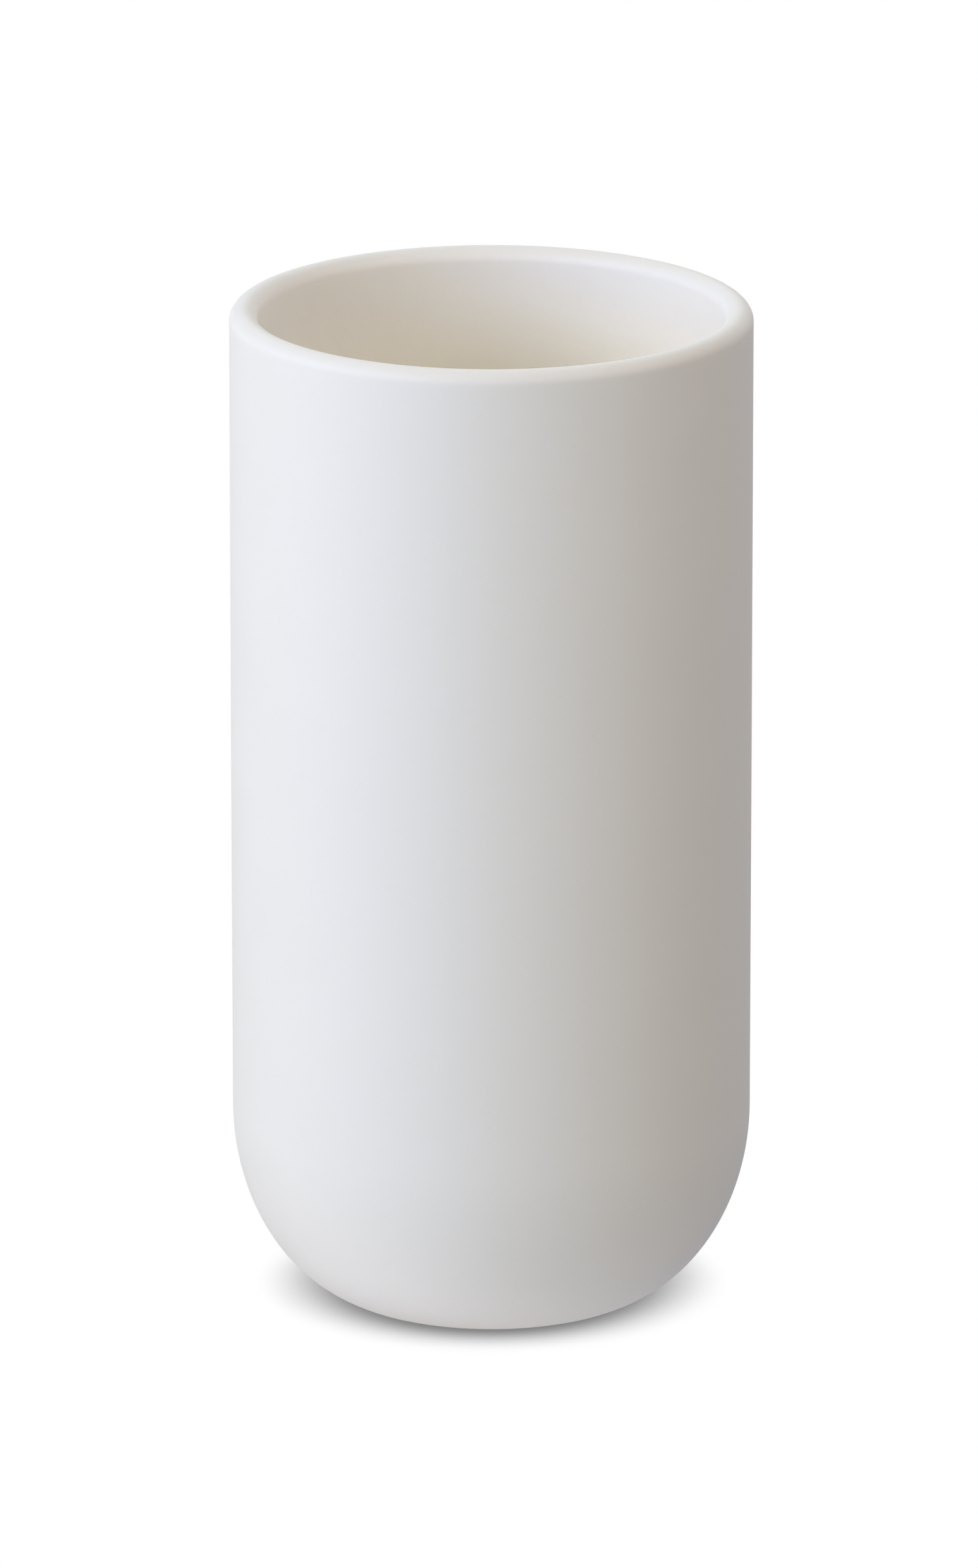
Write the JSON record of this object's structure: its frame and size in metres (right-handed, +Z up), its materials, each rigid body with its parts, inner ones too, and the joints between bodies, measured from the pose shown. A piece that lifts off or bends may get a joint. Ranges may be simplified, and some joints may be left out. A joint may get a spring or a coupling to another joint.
{
  "type": "pen holder cup",
  "caption": "Tall round cup with a full-round lip and a deeply rounded base, for holding pens on a desk.",
  "frame": {"origin": "middle of the pad's underside, where the cup rests on the desk", "axes": "+Z up along the cup's axis, out of its mouth; X and Y lie in the desk's plane and are alike"},
  "size_m": [0.061, 0.061, 0.12],
  "materials": {
    "matte_ceramic": "matte",
    "silicone_pad": "matte"
  },
  "bodies": {
    "root": {"cup_body": "matte_ceramic", "foot_pad": "silicone_pad"}
  },
  "joints": []
}
